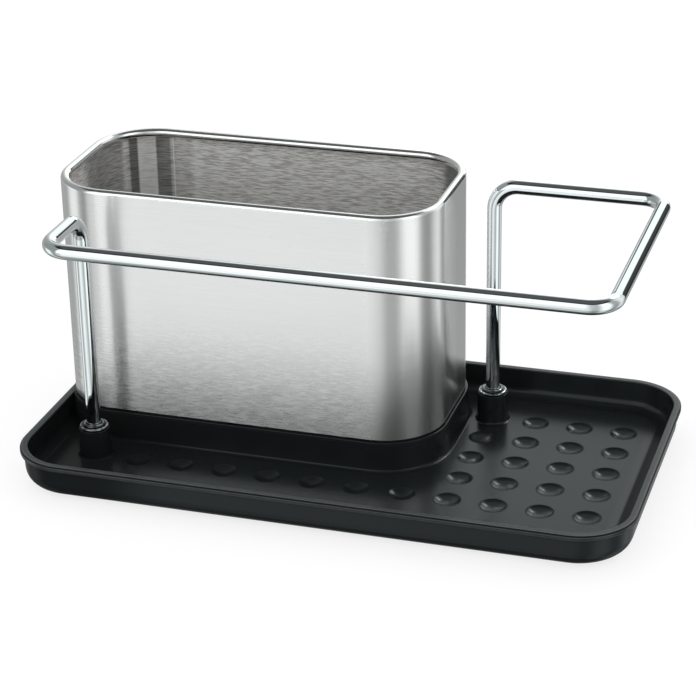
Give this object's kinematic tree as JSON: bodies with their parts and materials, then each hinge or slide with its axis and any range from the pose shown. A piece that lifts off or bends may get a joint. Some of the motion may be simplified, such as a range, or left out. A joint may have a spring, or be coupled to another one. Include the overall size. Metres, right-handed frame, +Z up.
{
  "type": "sink caddy",
  "caption": "Low black tray with a lift-out brushed steel utensil box and a chrome cloth rail that plugs into sockets on the tray floor.",
  "frame": {"origin": "on the surface it stands on, under the centre of the caddy's bounding box", "axes": "+X along the tray's long side, towards the open end of the tray; +Y from the front bar of the rail towards the back; +Z up"},
  "size_m": [0.3, 0.1694, 0.135],
  "materials": {
    "tray_plastic": "black moulded plastic with a fine satin texture",
    "base_plastic": "black moulded plastic, satin",
    "box_steel": "stainless sheet with a fine brushing that runs round the box",
    "rail_chrome": "bright polished chrome",
    "foot_rubber": "dull soft rubber"
  },
  "bodies": {
    "tray": {"tray": "tray_plastic", "foot_front_left": "foot_rubber", "foot_front_right": "foot_rubber", "foot_back_left": "foot_rubber", "foot_back_right": "foot_rubber"},
    "box": {"box_wall": "box_steel", "box_base": "base_plastic"},
    "rail": {"rail": "rail_chrome", "collar_left": "rail_chrome", "collar_right": "rail_chrome"}
  },
  "joints": [
    {"name": "box_lift", "type": "slide", "parent": "tray", "child": "box", "axis": [0, 0, 1], "range_m": [0, 0.125]},
    {"name": "rail_lift", "type": "slide", "parent": "tray", "child": "rail", "axis": [0, 0, 1], "range_m": [0, 0.03]}
  ]
}
